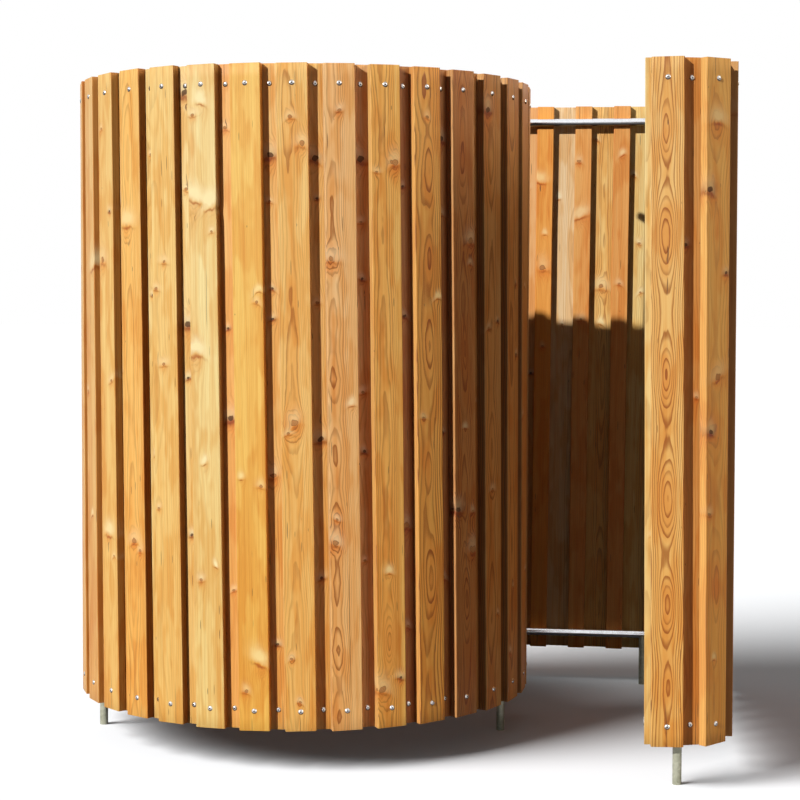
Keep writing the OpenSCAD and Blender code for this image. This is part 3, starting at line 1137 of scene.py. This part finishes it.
def zinc(name, bright, dull, under, polish, metal):
    """Galvanised steel, with painted shade on its underside."""
    material, steps, surface = new_material(name)
    place, facing_up = where_and_up(steps)
    look = steps.node("Group", {"Place": place, "Grain size": 0.009}, node_tree=SPANGLE)
    share = look["Spangle"].scaled(0.45, look["Bloom"].ramp(0.35, 0.7, 0.0, 0.55))
    # Painted shade on the underside, as strong as under says
    painted_underside_shade = look["Bloom"].scaled(0.3, facing_up).ramp(0.22, -0.22)
    colour = steps.mix(painted_underside_shade * under, steps.mix(share, bright, dull), (0.06, 0.06, 0.06))
    steps.feed_all(surface, {"Base Color": colour, "Roughness": share.scaled(0.14, polish),
                             "Metallic": metal, "Normal": steps.bump(look["Bloom"], 0.3, 0.0004)})
    return material


def stainless(name):
    """Bright steel with a painted reflection of the brown wall on its underside and painted shade in its
    socket.
    """
    material, steps, surface = new_material(name)
    place, facing_up = where_and_up(steps)
    cloud = steps.noise(place, 160.0, 2.0)[0].ramp(0.35, 0.7)
    colour = steps.mix(cloud, (0.66, 0.65, 0.63), (0.46, 0.44, 0.42))
    # Painted reflection of the brown wall on the underside
    colour = steps.mix(facing_up.ramp(0.10, -0.45, 0.0, 0.9), colour, (0.06, 0.035, 0.02))
    # Painted shade on the floor of the socket
    colour = steps.mix(steps.kept("socket_shade", "Fac"), colour, (0.05, 0.035, 0.025))
    steps.feed_all(surface, {"Base Color": colour, "Metallic": 1.0, "Roughness": 0.24})
    return material


# The fourth number is the strength of the painted shade underneath
ring_zinc = zinc("galvanised_ring", (0.95, 0.96, 0.98), (0.76, 0.78, 0.81), 0.92, 0.15, 1.0)
leg_zinc = zinc("galvanised_leg", (0.55, 0.55, 0.42), (0.27, 0.27, 0.18), 0.25, 0.30, 0.35)
steel = stainless("stainless_screw")

LEGS = [name for name in frame["nodes"] if name.endswith("_leg")]
for name, node in frame["nodes"].items():
    if name in LEGS:
        node.material_slots[0].material = leg_zinc
    elif "_ring_" in name:
        node.material_slots[0].material = ring_zinc
print("legs", LEGS)

# %% Screws, one object a panel
HEAD_SINK = 0.0004       # how deep a flange beds into the wood

turner = random.Random(3)
for panel in PANELS:
    vertices, faces, socket_shade = [], [], []
    for board in [board for boards in layers.values() for board in boards if board.panel == panel]:
        for height in RING_HEIGHTS:
            up = (height - board.middle[2]) / board.along[2]
            points, head_faces, head_socket_shade = screw_head(turner.uniform(0, math.pi / 3))
            points = points + np.array([0, board.thickness / 2 - HEAD_SINK, up])
            faces += [tuple(len(socket_shade) + index for index in face) for face in head_faces]
            vertices.append(board.world(points))
            socket_shade += head_socket_shade
    screws = smooth_object(f"{panel}_screws", np.vstack(vertices), faces, steel, 40)
    # Marks each socket floor for its painted shade
    remember(screws.data, "socket_shade", "FLOAT", "POINT", socket_shade)
print("screws in the last panel", len(vertices))

# %% [markdown]
# ## Welds
# Each leg is coped, so that its top fits the underside of the ring, and is welded on all the way
# round. Seen closely, the weld is a bead that rises and falls along the saddle where two tubes
# meet, with a ripple for each drop of metal. We walk round the leg and raise every point until
# it meets the ring tube.

# %% Weld beads on the leg tops
BEAD = 0.0022            # half the thickness of a bead
BEAD_STEPS, BEAD_SIDES = 56, 8
ring_low, ring_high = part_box("lower_ring_side_run")
RING_TUBE = (ring_high.z - ring_low.z) / 2


def weld_bead(leg, deck):
    """Points and faces of the bead round the top of a leg."""
    low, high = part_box(leg)
    centre = (low + high) / 2
    radius = (high.x - low.x) / 2
    nearest = min(layers["inner"], key=lambda board: math.hypot(board.middle[0] - centre.x,
                                                                board.middle[1] - centre.y))
    ring_way = math.atan2(nearest.across[1], nearest.across[0])
    points = []
    for angle in turns(BEAD_STEPS):
        beside = min(abs(radius * math.sin(angle - ring_way)), RING_TUBE * 0.98)
        height = RING_HEIGHTS[0] - math.sqrt(RING_TUBE ** 2 - beside ** 2)
        size = BEAD * (1 + 0.22 * math.sin(angle * 14) + deck.uniform(-0.1, 0.1))
        for turn in turns(BEAD_SIDES):
            away = radius + size * math.cos(turn)
            points.append((centre.x + away * math.cos(angle), centre.y + away * math.sin(angle),
                           height + size * math.sin(turn)))
    faces = [tuple(index % len(points) for index in (a, d, c, b))
             for a, b, c, d in ring_faces(BEAD_STEPS + 1, BEAD_SIDES)]
    return points, faces


welder = random.Random(9)
for leg in LEGS:
    bead = smooth_object(f"{leg}_weld", *weld_bead(leg, welder), leg_zinc, 60)
    print(bead.name, len(bead.data.polygons), "faces")

# %% [markdown]
# ## Floor and light
# A plain pale floor takes the shadow. The key lamp stands far off to the front left, rather low,
# and the sky fills in. A weak lamp behind keeps the far side readable, and a weak warm one from
# the right reaches into the gaps between the boards. The side wall keeps it from the boards by
# the entrance, so those have a fill of their own, which only the round room takes part in.
#
# These lamps would draw a hard, short shadow on the floor. So they leave the floor out, and two
# lamps of its own light it: a softer, higher key, and a wide one overhead that darkens the floor
# only close under the boards. Light linking says which lamp lights which objects.

# %% Floor
def seen_directly(steps):
    """1 for what the camera sees, itself or in metal and glass, and 0 for light on its way."""
    path = steps.node("LightPath")
    total = path["Is Camera Ray"] + path["Is Glossy Ray"]
    return steps.maths("ADD", total, path["Is Transmission Ray"], use_clamp=True)


REACH = 60.0             # from the middle of the floor to each edge
floor_mesh = bpy.data.meshes.new("floor")
floor_mesh.from_pydata([(-REACH, -REACH, 0), (REACH, -REACH, 0), (REACH, REACH, 0), (-REACH, REACH, 0)],
                       [], [(0, 1, 2, 3)])
floor = placed("floor", floor_mesh)
floor_material = bpy.data.materials.new("pale_floor")
floor_material.use_nodes = True
floor_material.node_tree.nodes.clear()
floor_steps = Steps(floor_material.node_tree)
plain, shown = [floor_steps.node("BsdfDiffuse", {"Color": shade})["BSDF"]
                for shade in ((0.02, 0.02, 0.02), (0.80, 0.805, 0.815))]
either = floor_steps.node("MixShader", (seen_directly(floor_steps), plain, shown))["Shader"]
floor_steps.node("OutputMaterial", {"Surface": either})
floor_mesh.materials.append(floor_material)
print("floor", 2 * REACH, "m wide")

# %% Sky
SKY_FILL = (0.044, 0.040, 0.035)
world = bpy.data.worlds.new("studio")
bpy.context.scene.world = world
world.use_nodes = True
sky = Steps(world.node_tree)
background = world.node_tree.nodes["Background"].inputs
sky.feed(background["Color"], sky.mix(seen_directly(sky), SKY_FILL, (1, 1, 1)))
print("sky fill", SKY_FILL)


# %% Lamps
def far_lamp(name, towards_lamp, elevation, strength, softness, colour=(1, 1, 1)):
    """A far lamp, given the compass direction from which it shines, 0 at +X."""
    lamp = placed(name, bpy.data.lights.new(name, "SUN"))
    lamp.data.energy = strength
    lamp.data.color = colour
    lamp.data.angle = math.radians(softness)
    turn, rise = math.radians(towards_lamp), math.radians(elevation)
    back = Vector((math.cos(turn) * math.cos(rise), math.sin(turn) * math.cos(rise), math.sin(rise)))
    lamp.rotation_euler = back.to_track_quat("Z", "Y").to_euler()
    return lamp


def named_set(name, members):
    """A collection for light linking, outside the scene's own."""
    made = bpy.data.collections.new(name)
    for member in members:
        made.objects.link(member)
    return made


on_floor = named_set("floor_only", [floor])
off_floor = named_set("all_but_the_floor", [floor])
off_floor.collection_objects[0].light_linking.link_state = "EXCLUDE"
round_room = named_set("round_room", [piece for piece in bpy.data.objects
                                      if piece.name.startswith("drum_")
                                      and not piece.name.endswith("_boards")])

# %% Setting the lamps
for lamp in (far_lamp("key", 234.0, 24.3, 3.5, 0.9), far_lamp("rim", 78.0, 30.0, 1.0, 28.0),
             far_lamp("side", 350.0, 22.0, 0.90, 30.0, (1.0, 0.84, 0.64))):
    lamp.light_linking.receiver_collection = off_floor
entrance = far_lamp("entrance_fill", 338.0, 18.0, 0.38, 30.0)
entrance.light_linking.receiver_collection = round_room
entrance.light_linking.blocker_collection = round_room
for lamp in (far_lamp("key_on_the_floor", 211.0, 36.0, 6.0, 36.0),
             far_lamp("sky_on_the_floor", 234.0, 88.0, 0.55, 150.0, (0.86, 0.95, 1.0))):
    lamp.light_linking.receiver_collection = on_floor
bpy.context.scene.view_settings.view_transform = "Standard"
print("lamps", [lamp.name for lamp in bpy.data.lights])
